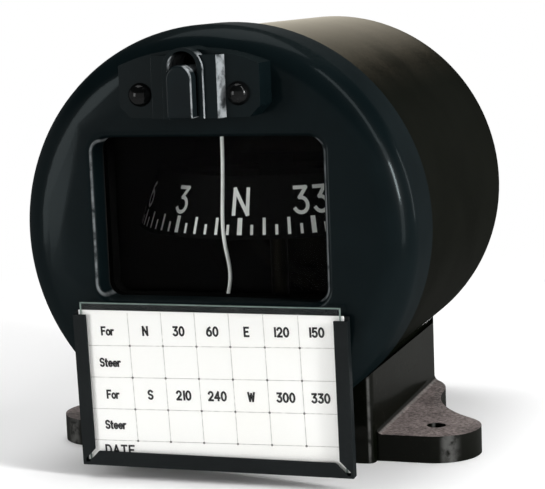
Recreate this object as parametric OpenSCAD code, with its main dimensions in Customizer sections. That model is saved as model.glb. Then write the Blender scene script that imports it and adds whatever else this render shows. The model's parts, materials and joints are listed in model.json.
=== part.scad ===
// Standby aircraft compass: a drum case on a saddle pedestal, with a vertical card behind a window.
// The origin is on the mounting plane, straight below the card's pivot.
// +X is to the right of someone facing the window, +Y runs from the face to the rear, +Z is up.

/* [Case] */
// Diameter of the front cover
face_d = 82; // [80:0.5:88]
// Radius of the front cover's rounded edge
edge_r = 6.5; // [4:0.5:7]
// Depth of the front cover from its face to the seam
cover_depth = 17.5; // [17:0.5:20]
// Side wall of the front cover
cover_wall = 2.5; // [2:0.1:3]
// Thickness of the front cover's face
face_t = 5; // [4.5:0.1:5.5]
// Step in radius from the front cover down to the drum
drum_step = 1; // [0.6:0.1:1.4]
// Wall of the drum
drum_wall = 2.5; // [2:0.1:3]
// Thickness of the drum's closed end
drum_end_t = 3; // [2.5:0.1:4]
// Radius of the drum's rear edge
drum_edge_r = 3; // [1:0.5:4]
// Depth of the case from its face to its rear
case_depth = 92; // [90:0.5:100]
// Thickness of the seal at the seam
seal_t = 0.8; // [0.5:0.1:1.5]
// Length of the drum's spigot inside the cover
spigot_len = 4.5; // [3:0.1:4.6]
// Wall of the spigot
spigot_wall = 2.4; // [2:0.1:2.4]
// Distance from the face back to the card's pivot
face_to_pivot = 43.5; // [43:0.5:46]
// Height of the drum's underside above the mounting plane
drum_clear = 10; // [9.8:0.1:16]

/* [Window] */
// Width of the window at the face
window_w = 50.6; // [46:0.2:51]
// Height of the window at the face
window_h = 35.4; // [31:0.2:35.6]
// Height of the window's centre above the drum's axis
window_up = 3.1; // [2.5:0.1:3.6]
// Corner radius of the window at the face
window_corner = 4.5; // [4:0.1:6]
// Radius of the window's rounded edge
window_edge = 1.5; // [0.8:0.1:2]
// How far the glass laps behind the cover
glass_lap = 3.2; // [2:0.1:3.4]
// Thickness of the glass
glass_t = 2; // [1.5:0.1:2.4]
// Thickness of the gasket under the glass
gasket_t = 1; // [0.6:0.1:1.2]
// Thickness of the mask plate that clamps the glass
mask_t = 3.4; // [3:0.1:3.6]
// Diameter of the lubber wire
wire_d = 0.8; // [0.4:0.05:0.9]
// Bow of the lubber wire either way
wire_bow = 1.6; // [0.5:0.1:1.7]

/* [Card] */
// Diameter of the card ring
card_d = 60; // [56:0.5:60]
// Height of the card ring
card_h = 12.5; // [10:0.5:14]
// Height of the ring's middle above the drum's axis
card_up = 3.4; // [2:0.1:5]
// Wall of the card ring
card_t = 0.8; // [0.6:0.1:1.2]
// How much smaller the ring's radius is at its top
card_taper = 4.4; // [3:0.1:5]
// Thickness of the float's web
web_t = 1.2; // [1:0.1:2]
// Heading of the card to the right of the lubber wire, in degrees
card_turn = 3; // [-30:1:30]
// Length of a card magnet
magnet_len = 38; // [30:1:40]
// Side of a card magnet
magnet_side = 3; // [2:0.1:4]

/* [Pedestal] */
// Width of the pedestal
pedestal_w = 54; // [52:0.5:56]
// Length of the pedestal
pedestal_len = 56; // [54:0.5:60]
// Wall of the pedestal
pedestal_wall = 3; // [2.5:0.1:3.2]
// Radius of the pedestal's upright corners
pedestal_corner = 1.6; // [1.2:0.1:3]
// Setback of the pedestal behind the drum's front end
pedestal_setback = 0.8; // [0.4:0.1:3]
// Thickness of the foot flange
flange_t = 5.6; // [4:0.1:7]
// Reach of the flange beyond the pedestal's sides
flange_side = 5; // [4:0.1:6]
// Reach of the flange beyond the pedestal's rear
flange_rear = 3.4; // [3:0.1:6]
// Radius of the flange's rear corners
flange_corner = 17; // [10:0.5:18]
// Radius of the fillet at the pedestal's foot
foot_fillet = 1.2; // [1:0.1:3]
// Distance between the two lug holes
lug_spacing = 74.8; // [74:0.2:84]
// Radius of a lug's rounded end
lug_r = 9.4; // [8:0.1:10]
// Distance of the lug holes behind the pedestal's front
lug_back = 12.1; // [11:0.1:16]
// Diameter of a lug hole
lug_hole_d = 4; // [3:0.1:5]
// Radius of the hollow blend behind a lug
lug_blend_r = 30; // [20:1:34]

/* [Lamp] */
// Width of the lamp housing's ears
lamp_w = 28.6; // [27:0.2:31]
// Thickness of the ears
lamp_ear_t = 6.9; // [5:0.1:8]
// Width of the lamp block
lamp_block_w = 15; // [14:0.2:15.2]
// Reach of the lamp block beyond the ears
lamp_block_t = 2.3; // [1.8:0.1:4]
// Height of the lamp housing's lower edge above the drum's axis
lamp_up = 23.7; // [23:0.1:25]
// Height of the lamp block
lamp_h = 13.4; // [13:0.1:13.8]
// Inset of the housing's arched top from the cover's edge
lamp_inset = 4.3; // [3:0.1:5]
// Width of the lamp holder
holder_plug_w = 5.4; // [5:0.1:6]
// Height of the lamp holder
holder_plug_h = 10; // [9.6:0.1:10.4]
// Distance between the lamp screws
lamp_screw_gap = 20; // [19.8:0.1:21]

/* [Correction card] */
// Width of the card holder
frame_w = 57.4; // [50:0.2:60]
// Height of the card holder
frame_h = 32; // [29:0.5:32]
// Height of the holder's foot above the mounting plane
frame_foot = 2.8; // [2:0.1:5]
// Lean of the holder, in degrees
frame_tilt = 2.5; // [0:0.5:3]
// Thickness of the holder's back sheet
sheet_t = 0.8; // [0.6:0.1:1.2]
// Thickness of the holder's lips
lip_t = 0.5; // [0.4:0.1:0.8]
// Width of the side lips
side_lip = 2.8; // [1.5:0.1:3]
// Height of the bottom lip
bottom_lip = 3; // [2:0.1:4]
// Thickness of the correction card
paper_t = 0.2; // [0.15:0.05:0.4]
// Thickness of the clear cover
clear_t = 0.25; // [0.2:0.05:0.5]
// Height of the correction card's top edge above the holder
paper_rise = 0.2; // [0.2:0.1:1]
// Height of the clear cover's top edge above the correction card
clear_rise = 1.7; // [0.5:0.1:2]

/* [Corrector] */
// Gap between a corrector's frame and the pedestal's side wall
corrector_inset = 1.9; // [1.6:0.1:2.2]
// Distance of the correctors behind the pedestal's front
corrector_back = 17.4; // [16.8:0.2:20]
// Module of the bevel teeth
tooth_module = 0.4; // [0.36:0.02:0.4]
// Number of wheel teeth
wheel_teeth = 20; // [18:2:20]
// Number of pinion teeth
pinion_teeth = 10; // [8:2:10]
// Diameter of a corrector spindle
spindle_d = 2.4; // [1.8:0.1:2.4]

/* [Fits] */
// Radial clearance of a shaft that turns
running_fit = 0.05; // [0.02:0.01:0.1]
// Gap at a sliding piece
slide_gap = 0.3; // [0.2:0.05:0.4]
// Gap between thin sheets that slide
sheet_gap = 0.1; // [0.08:0.02:0.2]
// Radial clearance of a fixed pin or screw in its hole
screw_fit = 0.03; // [0.02:0.01:0.1]
// Gap between the drum and its saddle
saddle_fit = 0.05; // [0.02:0.01:0.1]

/* [Hidden] */
$fn = 64;

eps = 0.01;
cut = 1;

// Case
face_r = face_d / 2;
drum_r = face_r - drum_step;
axis_h = drum_clear + drum_r;
face_y = -face_to_pivot;
rear_y = face_y + case_depth;
seam_y = face_y + cover_depth;
drum_y = seam_y + seal_t;
cover_in_r = face_r - cover_wall;
drum_in_r = drum_r - drum_wall;
spigot_r = cover_in_r - screw_fit;
spigot_in_r = spigot_r - spigot_wall;
shoulder_t = 2.5;
seal_reach = 0.4;

// Window stack, from the face backwards
window_z = axis_h + window_up;
pane_w = window_w - 2 * window_edge;
pane_h = window_h - 2 * window_edge;
pane_corner = window_corner - window_edge;
gasket_y = face_y + face_t;
glass_y = gasket_y + gasket_t;
mask_y = glass_y + glass_t;
mask_back_y = mask_y + mask_t;
mask_r = cover_in_r - slide_gap;
mask_play = 0.5;
mask_boss_r = 2.9;
mask_boss_x = pane_w / 2 + glass_lap + mask_boss_r + slide_gap;
mask_boss_z = 9;
mask_screw_r = 1.2;
mask_screw_deep = 2.4;
mask_head_r = 1.9;
mask_head_t = 1.2;
wire_r = wire_d / 2;
wire_y = mask_y + wire_bow + wire_r + slide_gap;
wire_seat = 1.5;

// Card
card_r = card_d / 2;
card_z0 = axis_h + card_up - card_h / 2;
card_z1 = card_z0 + card_h;
web_drop = 2.5;
web_z = card_z1 - web_drop - web_t;
hub_r = 3.8;
hub_hole_r = 2.7;
hub_h = 4.6;
hub_roof = 1.2;
web_hole_r = 5;
web_hole_ring = 18;
web_holes = 6;
magnet_x = 7.5;
pin_r = 0.6;
pin_tip_r = 0.08;
pin_cone = 1.2;
pin_top_z = web_z + web_t + hub_h - hub_roof;
pin_len = 2.2;
pivot_z = pin_top_z - pin_len;
jewel_r = 1.3;
jewel_h = 1.6;
jewel_dish = 0.5;
jewel_gap = 0.04;
stem_r = 1.9;
stem_foot_r = 6;
stem_foot_h = 3;

// Rear
bellows_r = 22;
bellows_in_r = 19;
bellows_folds = 3;
bellows_wall = 1;
bellows_gap = 1.6;
bellows_cap_t = 0.8;
bellows_flange_r = 27;
bellows_flange_t = 0.6;
clamp_r = 22.8;
clamp_t = 1.6;
clamp_screw_r = 0.9;
clamp_screw_ring = 25;
clamp_screws = 4;
clamp_screw_deep = 1.6;
clamp_head_r = 1.6;
clamp_head_t = 1;
vent_r = 1;
end_in_y = rear_y - drum_end_t;
bellows_len = end_in_y - bellows_flange_t - bellows_cap_t - bellows_gap - card_r;
plug_up = 31;
plug_r = 2.6;
plug_head_r = 4.2;
plug_head_t = 2;
plug_slot = 1;
plug_slot_deep = 1;
plug_tail = 1;
washer_r = 4.6;
washer_t = 0.8;

// Pedestal
pedestal_y = drum_y + pedestal_setback;
pedestal_y1 = pedestal_y + pedestal_len;
pedestal_mid = (pedestal_y + pedestal_y1) / 2;
hollow_w = pedestal_w - 2 * pedestal_wall;
hollow_len = pedestal_len - 2 * pedestal_wall;
hollow_corner = 1;
saddle_r = drum_r + saddle_fit;
lug_x = lug_spacing / 2;
lug_y = pedestal_y + lug_back;
flange_x = pedestal_w / 2 + flange_side;
flange_y = lug_y - lug_r;
flange_y1 = pedestal_y1 + flange_rear;
plate_z = 1.2;
plate_t = 1.2;
plate_top = plate_z + plate_t;
plate_gap = 0.2;
plate_boss_r = 3;
plate_boss_in = 2.6;
plate_boss_h = 6;
plate_screw_r = 1;
plate_screw_len = 5;
plate_head_r = 1.8;
plate_head_t = 0.9;
pillar_w = 9;
pillar_d = 5.5;
pillar_gap = 1.8;
pillar_z = plate_top + pillar_gap;
saddle_screw_r = 1.5;
saddle_head_r = 2.4;
saddle_head_t = 1.5;
saddle_pad_r = 3.6;
saddle_pad_h = 3;
saddle_bite = 1.6;
saddle_groove = 1.1;
saddle_lip = 1.2;
saddle_screw_in = drum_wall + saddle_bite;
saddle_screw_y = [pedestal_y + pedestal_wall + pillar_d / 2, pedestal_y1 - pedestal_wall - pillar_d / 2];

// Lamp
lamp_z = axis_h + lamp_up;
lamp_top_z = lamp_z + lamp_h;
lamp_arch_r = face_r - lamp_inset;
ear_y = face_y - lamp_ear_t;
ear_chamfer = 2.2;
block_y = ear_y - lamp_block_t;
socket_w = holder_plug_w + 2 * slide_gap;
socket_roof = 0.65;
socket_top_z = lamp_top_z - socket_roof;
socket_back_t = 1.5;
hood_wall = 1.05;
hood_w = socket_w + 2 * hood_wall;
hood_t = 0.8;
hood_rise = 1.5;
plug_front = 3;
block_draft = 0.9;
plug_lift = 0.2;
holder_plug_z = lamp_z + plug_lift;
contact_t = 0.4;
contact_y = face_y - socket_back_t - contact_t;
holder_plug_y = contact_y - slide_gap;
bulb_up = 4.8;
bulb_z = lamp_z + bulb_up;
bulb_base_r = 1.6;
bulb_base_len = 4;
bulb_r = 1.9;
bulb_gap = 0.5;
bulb_hole_r = bulb_r + bulb_gap;
port_r = 3.6;
lamp_screw_x = lamp_screw_gap / 2;
lamp_screw_up = 4.5;
lamp_screw_z = lamp_z + lamp_screw_up;
lamp_screw_r = 1.5;
lamp_screw_deep = 3.2;
dome_r = 2.3;
dome_h = 2.1;

// Correction card, in the holder's own frame: back sheet at y = 0, front towards -y, foot at z = 0
paper_y = -sheet_t - sheet_gap - paper_t;
clear_y = paper_y - sheet_gap - clear_t;
lip_y = clear_y - sheet_gap - lip_t;
fold_t = 0.6;
lip_drop = 0.6;
mitre_gap = 0.9;
paper_w = frame_w - 2 * fold_t - 2 * slide_gap;
paper_h = frame_h - fold_t - slide_gap + paper_rise;
clear_inset = 0.5;
clear_w = paper_w - 2 * clear_inset;
clear_h = paper_h + clear_rise;
frame_touch_z = axis_h - face_r + edge_r;
frame_stand = 0.02;
frame_y = face_y + (frame_touch_z - frame_foot) * tan(frame_tilt) - frame_stand;
frame_screw_x = 15;
frame_screw_z = 21;
frame_screw_r = 1.1;
frame_head_r = 2;
frame_screw_deep = 3;

// Corrector, in its own frame: centre where the bevel axes meet
wheel_r = tooth_module * wheel_teeth / 2;
pinion_r = tooth_module * pinion_teeth / 2;
cone_len = sqrt(wheel_r * wheel_r + pinion_r * pinion_r);
tooth_angle = 20;
tooth_play = 0.08;
root_depth = 1.2;
tooth_face = 0.356;
wheel_rim = 0.1;
wheel_root = atan(wheel_r / pinion_r) - atan(root_depth * tooth_module / cone_len);
wheel_base = (wheel_r + wheel_rim) / tan(wheel_root);
wheel_disc_t = 0.45;
bar_t = 0.6;
bar_w = 2.2;
bar_len = 7.4;
axle_r = 0.6;
bar_gap = 0.1;
frame_half = wheel_base + wheel_disc_t + bar_t + bar_gap;
frame_plate_t = 0.55;
frame_side_gap = 1.1;
frame_front_gap = 2.4;
frame_back_gap = 1.6;
frame_x = wheel_r + frame_side_gap;
frame_front = wheel_r + frame_front_gap;
frame_back = wheel_r + frame_back_gap;
frame_web_t = 0.8;
frame_bearing_t = 1.4;
corrector_x = hollow_w / 2 - corrector_inset - frame_x;
corrector_y = pedestal_y + corrector_back;
corrector_z = plate_top + frame_half + frame_plate_t;
spindle_r = spindle_d / 2;
spindle_bore_r = spindle_r + running_fit;
spindle_head_r = 2.2;
spindle_head_t = 1.4;
spindle_head_gap = 0.3;
spindle_slot = 0.6;
spindle_slot_deep = 0.8;

// Draws a flat outline in X and Z as a plate from y backwards.
module plate_y(y, t) translate([0, y + t, 0]) rotate([90, 0, 0]) linear_extrude(t) children();

// Turns an outline of radius and y about the drum's axis.
module revolve_y() translate([0, 0, axis_h]) rotate([-90, 0, 0]) rotate_extrude() children();

// A cylinder from y backwards.
module rod_y(x, y, z, r, len) translate([x, y, z]) rotate([-90, 0, 0]) cylinder(r = r, h = len);

module round_rect(w, h, r) {
    square([w - 2 * r, h], center = true);
    square([w, h - 2 * r], center = true);
    for (sx = [-1, 1], sy = [-1, 1])
        translate([sx * (w / 2 - r), sy * (h / 2 - r)]) circle(r);
}

// The hollow fillet's section, a little bedded into the wall and the floor that it joins.
module cove_section(r, bed) {
    difference() {
        translate([-bed, -bed]) square(r + bed);
        translate([r, r]) circle(r);
    }
}

// A hollow fillet around a rounded rectangle that stands on z = 0.
module cove_ring(w, h, corner, r, bed) {
    for (turn = [0, 180]) rotate(turn) {
        translate([w / 2, h / 2 - corner, 0]) rotate([90, 0, 0])
            linear_extrude(h - 2 * corner) cove_section(r, bed);
        translate([w / 2 - corner, h / 2 - corner, 0])
            rotate_extrude(angle = 90) translate([corner, 0]) cove_section(r, bed);
        rotate(90) {
            translate([h / 2, w / 2 - corner, 0]) rotate([90, 0, 0])
                linear_extrude(w - 2 * corner) cove_section(r, bed);
            translate([h / 2 - corner, w / 2 - corner, 0])
                rotate_extrude(angle = 90) translate([corner, 0]) cove_section(r, bed);
        }
    }
}

module at_mask_screws() {
    for (sx = [-1, 1], sz = [-1, 1])
        translate([sx * mask_boss_x, 0, axis_h + sz * mask_boss_z]) children();
}

module at_lamp_screws() {
    for (sx = [-1, 1]) translate([sx * lamp_screw_x, 0, lamp_screw_z]) children();
}

module in_holder_frame() translate([0, frame_y, frame_foot]) rotate([frame_tilt, 0, 0]) children();

module at_holder_screws() {
    in_holder_frame() for (sx = [-1, 1]) translate([sx * frame_screw_x, 0, frame_screw_z]) children();
}

// Case
module cover_section() {
    difference() {
        union() {
            translate([0, face_y]) square([face_r - edge_r, cover_depth]);
            translate([0, face_y + edge_r]) square([face_r, cover_depth - edge_r]);
            translate([face_r - edge_r, face_y + edge_r]) circle(edge_r);
        }
        translate([0, face_y + face_t]) square([cover_in_r, cover_depth]);
    }
}

module front_cover() {
    color("#20282c") difference() {
        union() {
            revolve_y() cover_section();
            at_mask_screws() rod_y(0, gasket_y - cut, 0, mask_boss_r, mask_y - gasket_y + cut);
        }
        translate([0, 0, window_z]) plate_y(face_y - cut, face_t + 2 * cut)
            round_rect(pane_w, pane_h, pane_corner);
        translate([0, face_y, window_z]) rotate([-90, 0, 0])
            cove_ring(pane_w, pane_h, pane_corner, window_edge, cut);
        rod_y(0, face_y - cut, bulb_z, port_r, face_t + 2 * cut);
        at_lamp_screws() rod_y(0, face_y - cut, 0, lamp_screw_r + screw_fit, lamp_screw_deep + cut);
        at_mask_screws()
            rod_y(0, mask_y - mask_screw_deep, 0, mask_screw_r + screw_fit, mask_screw_deep + cut);
        at_holder_screws() rod_y(0, -cut, 0, frame_screw_r + screw_fit, frame_screw_deep + cut);
    }
}

module drum_section() {
    difference() {
        union() {
            translate([0, drum_y]) square([drum_r, rear_y - drum_edge_r - drum_y]);
            translate([0, drum_y]) square([drum_r - drum_edge_r, rear_y - drum_y]);
            translate([drum_r - drum_edge_r, rear_y - drum_edge_r]) circle(drum_edge_r);
            translate([0, seam_y - spigot_len]) square([spigot_r, spigot_len + seal_t + cut]);
        }
        translate([0, seam_y - spigot_len - cut])
            square([spigot_in_r, spigot_len + seal_t + shoulder_t + cut]);
        translate([0, drum_y + shoulder_t - eps]) square([drum_in_r, end_in_y - drum_y - shoulder_t + eps]);
    }
}

module rear_drum() {
    color("#24241f") difference() {
        union() {
            revolve_y() drum_section();
            for (y = saddle_screw_y) translate([0, y, axis_h - drum_in_r - drum_wall / 2])
                cylinder(r = saddle_pad_r, h = saddle_pad_h + drum_wall / 2);
        }
        for (y = saddle_screw_y) translate([0, y, axis_h - drum_r - cut])
            cylinder(r = saddle_screw_r + screw_fit, h = saddle_screw_in + cut);
        rod_y(0, end_in_y - cut, axis_h, vent_r, drum_end_t + 2 * cut);
        rod_y(0, end_in_y - cut, axis_h + plug_up, plug_r + screw_fit, drum_end_t + 2 * cut);
        for (i = [0 : clamp_screws - 1]) rotate_clamp(i)
            rod_y(0, end_in_y - cut, 0, clamp_screw_r + screw_fit, clamp_screw_deep + cut);
    }
}

module case_seal() {
    color("#141414") revolve_y() translate([spigot_r + screw_fit, seam_y])
        square([drum_r + seal_reach - spigot_r - screw_fit, seal_t]);
}

// Pedestal
module flange_outline() {
    blend_x = flange_x + lug_blend_r;
    reach = lug_r + lug_blend_r;
    blend_y = lug_y + sqrt(reach * reach - (blend_x - lug_x) * (blend_x - lug_x));
    meet = lug_r / reach;
    translate([-flange_x, flange_y]) square([2 * flange_x, flange_y1 - flange_corner - flange_y]);
    translate([-flange_x + flange_corner, flange_y])
        square([2 * (flange_x - flange_corner), flange_y1 - flange_y]);
    for (sx = [-1, 1]) scale([sx, 1]) {
        translate([flange_x - flange_corner, flange_y1 - flange_corner]) circle(flange_corner);
        translate([lug_x, lug_y]) circle(lug_r);
        translate([0, flange_y]) square([lug_x, lug_r]);
        difference() {
            polygon([[flange_x - cut, lug_y - cut], [lug_x, lug_y - cut], [lug_x, lug_y],
                [lug_x + meet * (blend_x - lug_x), lug_y + meet * (blend_y - lug_y)],
                [blend_x, blend_y], [flange_x - cut, blend_y]]);
            translate([blend_x, blend_y]) circle(lug_blend_r);
        }
    }
}

module pedestal() {
    color("#2b2c29") difference() {
        union() {
            difference() {
                union() {
                    linear_extrude(flange_t) flange_outline();
                    translate([0, pedestal_mid, 0]) linear_extrude(axis_h)
                        round_rect(pedestal_w, pedestal_len, pedestal_corner);
                    intersection() {
                        translate([0, pedestal_mid, flange_t])
                            cove_ring(pedestal_w, pedestal_len, pedestal_corner, foot_fillet, cut);
                        linear_extrude(axis_h) flange_outline();
                    }
                }
                translate([0, pedestal_mid, -cut]) linear_extrude(axis_h + 2 * cut)
                    round_rect(hollow_w, hollow_len, hollow_corner);
            }
            for (y = saddle_screw_y) translate([-pillar_w / 2, y - pillar_d / 2 - cut / 2, pillar_z])
                cube([pillar_w, pillar_d + cut, axis_h - pillar_z]);
            at_plate_screws() translate([0, 0, plate_top]) cylinder(r = plate_boss_r, h = plate_boss_h);
        }
        rod_y(0, pedestal_y - cut, axis_h, saddle_r, pedestal_len + 2 * cut);
        difference() {
            rod_y(0, pedestal_y - cut, axis_h, saddle_r + saddle_groove, pedestal_len + cut - saddle_lip);
            translate([saddle_lip - pedestal_w / 2, pedestal_y - 2 * cut, 0])
                cube([pedestal_w - 2 * saddle_lip, pedestal_len + 2 * cut, axis_h]);
        }
        for (sx = [-1, 1]) translate([sx * lug_x, lug_y, -cut])
            cylinder(d = lug_hole_d, h = flange_t + 2 * cut);
        for (y = saddle_screw_y) translate([0, y, 0]) cylinder(r = saddle_screw_r + screw_fit, h = axis_h);
        at_plate_screws() cylinder(r = plate_screw_r + screw_fit, h = plate_top + plate_screw_len);
        for (sx = [-1, 1])
            rod_y(sx * corrector_x, pedestal_y - cut, corrector_z, spindle_bore_r, pedestal_wall + 2 * cut);
    }
}

module at_plate_screws() {
    boss_x = hollow_w / 2 - plate_boss_in;
    boss_y = hollow_len / 2 - plate_boss_in;
    for (sx = [-1, 1], sy = [-1, 1]) translate([sx * boss_x, pedestal_mid + sy * boss_y, 0]) children();
}

module saddle_screws() {
    color("#8f8a78") for (y = saddle_screw_y) translate([0, y, pillar_z]) {
        translate([0, 0, -saddle_head_t]) cylinder(r = saddle_head_r, h = saddle_head_t);
        cylinder(r = saddle_screw_r, h = axis_h - drum_r + saddle_screw_in - pillar_z - slide_gap);
    }
}

module base_plate() {
    color("#3a3a38") difference() {
        translate([0, pedestal_mid, plate_z]) linear_extrude(plate_t)
            round_rect(hollow_w - 2 * plate_gap, hollow_len - 2 * plate_gap, hollow_corner);
        at_plate_screws() cylinder(r = plate_screw_r + screw_fit, h = 2 * plate_top);
    }
}

module base_plate_screws() {
    color("#8f8a78") at_plate_screws() {
        translate([0, 0, plate_z - plate_head_t]) cylinder(r = plate_head_r, h = plate_head_t);
        translate([0, 0, plate_z]) cylinder(r = plate_screw_r, h = plate_t + plate_screw_len - slide_gap);
    }
}

// Window
module window_gasket() {
    color("#101010") translate([0, 0, window_z]) plate_y(gasket_y, gasket_t) difference() {
        round_rect(pane_w + 2 * glass_lap, pane_h + 2 * glass_lap, pane_corner + glass_lap);
        round_rect(pane_w + mask_play, pane_h + mask_play, pane_corner);
    }
}

module window_glass() {
    color("#c8d8d8", 0.3) translate([0, 0, window_z]) plate_y(glass_y, glass_t)
        round_rect(pane_w + 2 * glass_lap, pane_h + 2 * glass_lap, pane_corner + glass_lap);
}

module mask_plate() {
    color("#0c0c0c") difference() {
        plate_y(mask_y, mask_t) difference() {
            translate([0, axis_h]) circle(mask_r);
            translate([0, window_z]) round_rect(pane_w + mask_play, pane_h + mask_play, pane_corner);
            translate([0, bulb_z]) circle(port_r);
        }
        at_mask_screws() rod_y(0, mask_y - cut, 0, mask_screw_r + screw_fit, mask_t + 2 * cut);
        translate([0, wire_y, window_z - pane_h / 2 - wire_seat])
            cylinder(r = wire_r + screw_fit, h = pane_h + 2 * wire_seat);
    }
}

module mask_screws() {
    color("#8f8a78") at_mask_screws() {
        rod_y(0, mask_back_y, 0, mask_head_r, mask_head_t);
        rod_y(0, mask_y - mask_screw_deep + slide_gap, 0, mask_screw_r,
            mask_screw_deep + mask_t - slide_gap + eps);
    }
}

// The lubber wire: straight where it is seated, with one gentle wave between.
wire_steps = 24;
wire_lag = 2.4;
wire_sides = 8;
wire_z0 = window_z - pane_h / 2 - mask_play / 2;
wire_z1 = window_z + pane_h / 2 + mask_play / 2;
function wire_point(t) = [0, wire_y - wire_bow * sin(360 * pow(t, wire_lag)),
    wire_z1 + (wire_z0 - wire_z1) * t];
wire_path = concat([[0, wire_y, wire_z1 + wire_seat - slide_gap]],
    [for (i = [0 : wire_steps]) wire_point(i / wire_steps)],
    [[0, wire_y, wire_z0 - wire_seat + slide_gap]]);
function wire_turn(i) = let (last = len(wire_path) - 1,
    d = wire_path[min(i + 1, last)] - wire_path[max(i - 1, 0)]) atan2(d[1], -d[2]);

module lubber_wire() {
    rings = len(wire_path);
    points = [for (i = [0 : rings - 1], k = [0 : wire_sides - 1])
        let (turn = i == 0 || i == rings - 1 ? 0 : wire_turn(i), a = 360 * k / wire_sides)
        wire_path[i] + wire_r * [cos(a), sin(a) * cos(turn), sin(a) * sin(turn)]];
    sides = [for (i = [0 : rings - 2], k = [0 : wire_sides - 1]) let (n = (k + 1) % wire_sides)
        [i * wire_sides + k, i * wire_sides + n, (i + 1) * wire_sides + n, (i + 1) * wire_sides + k]];
    ends = [[for (k = [wire_sides - 1 : -1 : 0]) k],
        [for (k = [0 : wire_sides - 1]) (rings - 1) * wire_sides + k]];
    color("#e8e8e2") polyhedron(points, concat(sides, ends));
}

// Card
module card_ring() {
    color("#0e0e0e") rotate_extrude() polygon([[card_r, card_z0], [card_r - card_taper, card_z1],
        [card_r - card_taper - card_t, card_z1], [card_r - card_t, card_z0]]);
}

module card_float() {
    web_edge = card_taper * (web_z - card_z0) / card_h;
    web_edge_top = card_taper * (web_z + web_t - card_z0) / card_h;
    color("#161616") difference() {
        union() {
            rotate_extrude() polygon([[0, web_z], [card_r - card_t - web_edge - screw_fit, web_z],
                [card_r - card_t - web_edge_top - screw_fit, web_z + web_t], [0, web_z + web_t]]);
            translate([0, 0, web_z]) cylinder(r = hub_r, h = web_t + hub_h);
        }
        translate([0, 0, web_z - cut]) cylinder(r = hub_hole_r, h = web_t + hub_h - hub_roof + cut);
        for (i = [0 : web_holes - 1]) rotate(card_turn + 360 * (i + 0.5) / web_holes)
            translate([0, web_hole_ring, web_z - cut]) cylinder(r = web_hole_r, h = web_t + 2 * cut);
    }
}

module card_magnets() {
    color("#6a6c70") rotate(card_turn) for (sx = [-1, 1])
        translate([sx * magnet_x - magnet_side / 2, -magnet_len / 2, web_z - magnet_side])
            cube([magnet_side, magnet_len, magnet_side]);
}

module pivot_pin() {
    color("#b8b8b0") {
        translate([0, 0, pivot_z]) cylinder(r1 = pin_tip_r, r2 = pin_r, h = pin_cone);
        translate([0, 0, pivot_z + pin_cone]) cylinder(r = pin_r, h = pin_len - pin_cone);
    }
}

module jewel_cup() {
    color("#a03048") difference() {
        translate([0, 0, pivot_z - jewel_gap - jewel_h + jewel_dish]) cylinder(r = jewel_r, h = jewel_h);
        translate([0, 0, pivot_z - jewel_gap])
            cylinder(r1 = pin_tip_r + jewel_gap, r2 = pin_tip_r + jewel_gap + jewel_dish, h = jewel_dish);
    }
}

module pivot_stem() {
    floor_z = axis_h - drum_in_r;
    top_z = pivot_z - jewel_gap + jewel_dish;
    color("#b09048") difference() {
        union() {
            translate([0, 0, floor_z + cut]) cylinder(r = stem_r, h = top_z - floor_z - cut);
            intersection() {
                translate([0, 0, floor_z - cut]) cylinder(r = stem_foot_r, h = stem_foot_h + cut);
                rod_y(0, -2 * stem_foot_r, axis_h, drum_in_r - screw_fit, 4 * stem_foot_r);
            }
        }
        translate([0, 0, top_z - jewel_h]) cylinder(r = jewel_r + screw_fit, h = jewel_h + cut);
    }
}

// Rear
module rotate_clamp(i) {
    a = 360 * (i + 0.5) / clamp_screws;
    translate([clamp_screw_ring * cos(a), 0, axis_h + clamp_screw_ring * sin(a)]) children();
}

module expansion_bellows() {
    base_y = end_in_y - bellows_flange_t;
    tip_y = base_y - bellows_len;
    last = 2 * bellows_folds;
    fold = [for (i = [last : -1 : 0])
        [i % 2 == 0 ? bellows_in_r : bellows_r, base_y - i * bellows_len / last]];
    inner = [for (i = [last : -1 : 0]) [fold[i][0] - bellows_wall, fold[i][1]]];
    color("#b89a54") difference() {
        revolve_y() polygon(concat(
            [[0, tip_y - bellows_cap_t], [bellows_in_r, tip_y - bellows_cap_t]], fold,
            [[bellows_flange_r, base_y], [bellows_flange_r, end_in_y]],
            [[bellows_in_r - bellows_wall, end_in_y]], inner, [[0, tip_y]]));
        for (i = [0 : clamp_screws - 1]) rotate_clamp(i)
            rod_y(0, base_y - cut, 0, clamp_screw_r + screw_fit, bellows_flange_t + 2 * cut);
    }
}

module bellows_clamp() {
    y = end_in_y - bellows_flange_t - clamp_t;
    color("#8f8a78") difference() {
        revolve_y() translate([clamp_r, y]) square([bellows_flange_r - clamp_r, clamp_t]);
        for (i = [0 : clamp_screws - 1]) rotate_clamp(i)
            rod_y(0, y - cut, 0, clamp_screw_r + screw_fit, clamp_t + 2 * cut);
    }
}

module bellows_screws() {
    y = end_in_y - bellows_flange_t - clamp_t;
    color("#b0aa98") for (i = [0 : clamp_screws - 1]) rotate_clamp(i) {
        rod_y(0, y - clamp_head_t, 0, clamp_head_r, clamp_head_t);
        rod_y(0, y - eps, 0, clamp_screw_r, clamp_t + bellows_flange_t + clamp_screw_deep - slide_gap);
    }
}

module filler_washer() {
    color("#1a1a1a") difference() {
        rod_y(0, rear_y, axis_h + plug_up, washer_r, washer_t);
        rod_y(0, rear_y - cut, axis_h + plug_up, plug_r + screw_fit, washer_t + 2 * cut);
    }
}

module filler_plug() {
    slot_y = rear_y + washer_t + plug_head_t - plug_slot_deep;
    color("#a08848") difference() {
        union() {
            rod_y(0, end_in_y - plug_tail, axis_h + plug_up, plug_r,
                plug_tail + drum_end_t + washer_t + eps);
            rod_y(0, rear_y + washer_t, axis_h + plug_up, plug_head_r, plug_head_t);
        }
        translate([-plug_head_r - cut, slot_y, axis_h + plug_up - plug_slot / 2])
            cube([2 * (plug_head_r + cut), plug_slot_deep + cut, plug_slot]);
    }
}

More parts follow.
